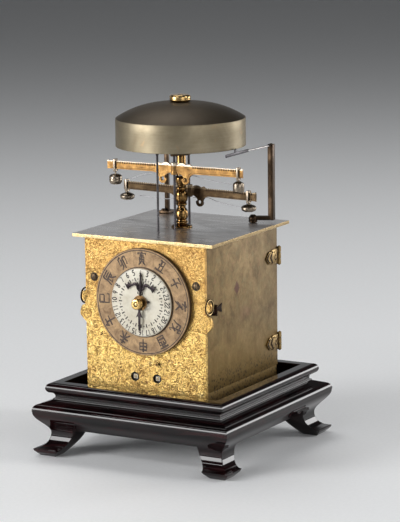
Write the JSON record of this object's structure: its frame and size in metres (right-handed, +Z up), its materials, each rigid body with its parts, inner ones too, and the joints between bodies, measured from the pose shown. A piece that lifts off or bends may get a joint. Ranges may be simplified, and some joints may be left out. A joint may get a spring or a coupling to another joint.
{
  "type": "table clock",
  "caption": "Square brass table clock with twin foliot balances under a bell, a turning dial, and a glossy dark wooden stand on curved feet.",
  "frame": {"origin": "on the floor, under the middle of the clock and its stand", "axes": "+Z up; the dial faces -Y; +X is the viewer's right when facing the dial"},
  "size_m": [0.1586, 0.1586, 0.2539],
  "materials": {
    "dark_wood": "high gloss, nearly black",
    "gilt_front": "engraved and gilt",
    "aged_brass": "worn and stained",
    "plain_brass": "satin",
    "bright_brass": "polished",
    "silvered_brass": "satin, silvered",
    "bell_bronze": "polished bell metal with age marks",
    "copper_ring": "reddish, matt",
    "enamel": "white enamel on metal",
    "black_steel": "blackened",
    "grey_steel": "worn grey",
    "dark_screw": "dark brass",
    "foliot_brass": "file-cut and polished",
    "weight_brass": "turned, tarnished"
  },
  "bodies": {
    "stand": {"rail_front": "dark_wood", "rail_rear": "dark_wood", "rail_left": "dark_wood", "rail_right": "dark_wood", "tray_floor": "dark_wood", "leg_front_left": "dark_wood", "leg_front_right": "dark_wood", "leg_rear_left": "dark_wood", "leg_rear_right": "dark_wood"},
    "clock": {"front_plate": "gilt_front", "rear_plate": "aged_brass", "base_pan": "aged_brass", "top_plate": "silvered_brass", "corner_posts": "plain_brass", "front_screws": "dark_screw", "rear_hinges": "aged_brass", "centre_tube": "plain_brass", "hour_hand": "black_steel", "pillar": "bright_brass", "bell": "bell_bronze", "bell_nut": "bright_brass", "verge_cock": "plain_brass", "front_bar": "plain_brass", "middle_bar": "plain_brass", "rear_bar": "plain_brass", "escape_bracket": "plain_brass"},
    "door_left": {"door_left": "aged_brass", "door_fittings_left": "aged_brass"},
    "door_right": {"door_right": "aged_brass", "door_fittings_right": "aged_brass"},
    "hasp_left": {"hasp_left": "aged_brass"},
    "hasp_right": {"hasp_right": "aged_brass"},
    "dial": {"dial_ring": "copper_ring", "enamel_disc": "enamel", "dial_wheel": "plain_brass"},
    "alarm_setting": {"alarm_hand": "black_steel", "setting_knob": "bright_brass"},
    "front_balance": {"front_verge": "grey_steel", "front_foliot": "foliot_brass"},
    "rear_balance": {"rear_verge": "grey_steel", "rear_foliot": "foliot_brass"},
    "bob_front_left": {"bob_front_left": "weight_brass"},
    "bob_front_right": {"bob_front_right": "weight_brass"},
    "bob_rear_left": {"bob_rear_left": "weight_brass"},
    "bob_rear_right": {"bob_rear_right": "weight_brass"},
    "strike_hammer": {"strike_hammer": "grey_steel"},
    "alarm_hammer": {"alarm_hammer": "grey_steel"},
    "going_barrel": {"going_barrel": "bright_brass"},
    "going_arbor": {"going_arbor": "grey_steel"},
    "second_wheel": {"second_wheel": "bright_brass"},
    "third_wheel": {"third_wheel": "bright_brass"},
    "fourth_wheel": {"fourth_wheel": "bright_brass"},
    "escape_wheel": {"escape_wheel": "bright_brass"},
    "strike_barrel": {"strike_barrel": "bright_brass"},
    "strike_arbor": {"strike_arbor": "grey_steel"},
    "pin_wheel": {"pin_wheel": "bright_brass"},
    "locking_wheel": {"locking_wheel": "bright_brass"},
    "fly": {"fly": "bright_brass"},
    "count_wheel": {"count_wheel": "bright_brass"}
  },
  "joints": [
    {"name": "clock_lift", "type": "slide", "parent": "stand", "child": "clock", "axis": [0, 0, 1], "range_m": [0, 0.03]},
    {"name": "door_left_hinge", "type": "hinge", "parent": "clock", "child": "door_left", "pos_m": [-0.0496, 0.0537, 0.1045], "axis": [0, 0, -1], "range_deg": [0, 110]},
    {"name": "door_right_hinge", "type": "hinge", "parent": "clock", "child": "door_right", "pos_m": [0.0496, 0.0537, 0.1045], "axis": [0, 0, 1], "range_deg": [0, 110]},
    {"name": "hasp_left_hinge", "type": "hinge", "parent": "door_left", "child": "hasp_left", "pos_m": [-0.0508, -0.0424, 0.1107], "axis": [0, 0, -1], "range_deg": [0, 100]},
    {"name": "hasp_right_hinge", "type": "hinge", "parent": "door_right", "child": "hasp_right", "pos_m": [0.0508, -0.0424, 0.1107], "axis": [0, 0, 1], "range_deg": [0, 100]},
    {"name": "dial_turn", "type": "hinge", "parent": "clock", "child": "dial", "pos_m": [0, -0.05, 0.1144], "axis": [0, 1, 0], "continuous": true},
    {"name": "alarm_turn", "type": "hinge", "parent": "clock", "child": "alarm_setting", "pos_m": [0, -0.055, 0.1144], "axis": [0, 1, 0], "continuous": true},
    {"name": "front_balance_swing", "type": "hinge", "parent": "clock", "child": "front_balance", "pos_m": [0, -0.0095, 0.2], "axis": [0, 0, 1], "range_deg": [-25, 25]},
    {"name": "rear_balance_swing", "type": "hinge", "parent": "clock", "child": "rear_balance", "pos_m": [0, 0.011, 0.18], "axis": [0, 0, 1], "range_deg": [-20, 20]},
    {"name": "bob_front_left_slide", "type": "slide", "parent": "front_balance", "child": "bob_front_left", "axis": [1, 0, 0], "range_m": [0, 0.03]},
    {"name": "bob_front_right_slide", "type": "slide", "parent": "front_balance", "child": "bob_front_right", "axis": [-1, 0, 0], "range_m": [0, 0.03]},
    {"name": "bob_rear_left_slide", "type": "slide", "parent": "rear_balance", "child": "bob_rear_left", "axis": [0.9962, -0.0872, 0], "range_m": [0, 0.03]},
    {"name": "bob_rear_right_slide", "type": "slide", "parent": "rear_balance", "child": "bob_rear_right", "axis": [-0.9962, 0.0872, 0], "range_m": [0, 0.03]},
    {"name": "strike_hammer_swing", "type": "hinge", "parent": "clock", "child": "strike_hammer", "pos_m": [0.0378, 0.0365, 0.16], "axis": [0, 0, 1], "range_deg": [0, 18], "stiffness_Nm_per_rad": 0.01, "springref_deg": -2.86},
    {"name": "alarm_hammer_swing", "type": "hinge", "parent": "clock", "child": "alarm_hammer", "pos_m": [-0.005, -0.0245, 0.2], "axis": [0, 0, -1], "range_deg": [0, 30]},
    {"name": "going_arbor_wind", "type": "hinge", "parent": "clock", "child": "going_arbor", "pos_m": [-0.009, -0.02, 0.0598], "axis": [0, 1, 0], "range_deg": [0, 1650]},
    {"name": "going_barrel_turn", "type": "hinge", "parent": "clock", "child": "going_barrel", "pos_m": [-0.009, -0.02, 0.0598], "axis": [0, 1, 0], "continuous": true},
    {"name": "second_wheel_turn", "type": "hinge", "parent": "clock", "child": "second_wheel", "pos_m": [-0.00963, -0.02, 0.07599], "axis": [0, 1, 0], "continuous": true},
    {"name": "third_wheel_turn", "type": "hinge", "parent": "clock", "child": "third_wheel", "pos_m": [-0.01138, -0.01, 0.09209], "axis": [0, 1, 0], "continuous": true},
    {"name": "fourth_wheel_turn", "type": "hinge", "parent": "clock", "child": "fourth_wheel", "pos_m": [-0.00806, -0.01, 0.10795], "axis": [0, 1, 0], "continuous": true},
    {"name": "escape_wheel_turn", "type": "hinge", "parent": "clock", "child": "escape_wheel", "pos_m": [0, 0.001, 0.122], "axis": [0, 1, 0], "continuous": true},
    {"name": "strike_arbor_wind", "type": "hinge", "parent": "clock", "child": "strike_arbor", "pos_m": [0.009, 0, 0.0598], "axis": [0, 1, 0], "range_deg": [0, 1650]},
    {"name": "strike_barrel_turn", "type": "hinge", "parent": "clock", "child": "strike_barrel", "pos_m": [0.009, 0.025, 0.0598], "axis": [0, 1, 0], "continuous": true},
    {"name": "pin_wheel_turn", "type": "hinge", "parent": "clock", "child": "pin_wheel", "pos_m": [0.01319, 0.03, 0.07545], "axis": [0, 1, 0], "continuous": true},
    {"name": "locking_wheel_turn", "type": "hinge", "parent": "clock", "child": "locking_wheel", "pos_m": [0.01038, 0.028, 0.0914], "axis": [0, 1, 0], "continuous": true},
    {"name": "fly_turn", "type": "hinge", "parent": "clock", "child": "fly", "pos_m": [0.01319, 0.025, 0.10736], "axis": [0, 1, 0], "continuous": true},
    {"name": "count_wheel_turn", "type": "hinge", "parent": "clock", "child": "count_wheel", "pos_m": [-0.00344, 0.044, 0.0815], "axis": [0, 1, 0], "continuous": true}
  ],
  "couplings": [
    {"joint": "going_barrel_turn", "follows": "third_wheel_turn", "ratio": 0.04},
    {"joint": "second_wheel_turn", "follows": "third_wheel_turn", "ratio": -0.2},
    {"joint": "fourth_wheel_turn", "follows": "third_wheel_turn", "ratio": -5},
    {"joint": "escape_wheel_turn", "follows": "third_wheel_turn", "ratio": 25},
    {"joint": "dial_turn", "follows": "third_wheel_turn", "ratio": 0.02},
    {"joint": "strike_barrel_turn", "follows": "pin_wheel_turn", "ratio": -0.2},
    {"joint": "locking_wheel_turn", "follows": "pin_wheel_turn", "ratio": -5},
    {"joint": "fly_turn", "follows": "pin_wheel_turn", "ratio": 25},
    {"joint": "count_wheel_turn", "follows": "pin_wheel_turn", "ratio": -0.18}
  ]
}
